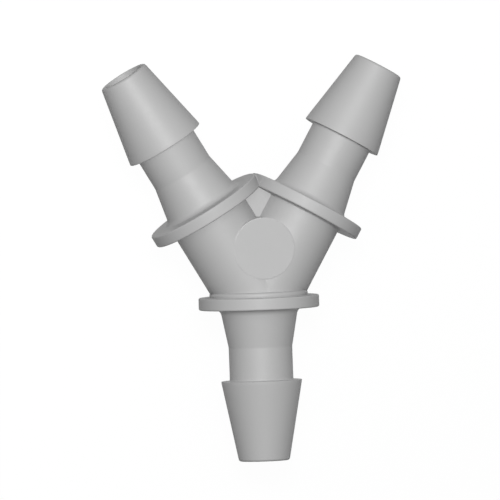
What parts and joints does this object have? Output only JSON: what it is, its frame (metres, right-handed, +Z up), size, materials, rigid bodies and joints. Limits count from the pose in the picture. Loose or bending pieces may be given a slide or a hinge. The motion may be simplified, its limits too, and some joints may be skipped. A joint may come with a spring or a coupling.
{
  "type": "tubing y connector",
  "caption": "Y-shaped plastic fitting that joins flexible tubes: tapered hose barbs behind round stop flanges, with bores that meet at the junction.",
  "frame": {"origin": "middle of the bounding box on the surface that the fitting lies on, below the line of its stem", "axes": "+Y from the stem's end towards the arms, +X towards the right arm, +Z up, square to the plane of the limbs' axes, on the side of the round pad"},
  "size_m": [0.0302, 0.0402, 0.0121],
  "materials": {
    "plastic": "satin"
  },
  "bodies": {
    "root": {"y_connector": "plastic"}
  },
  "joints": []
}
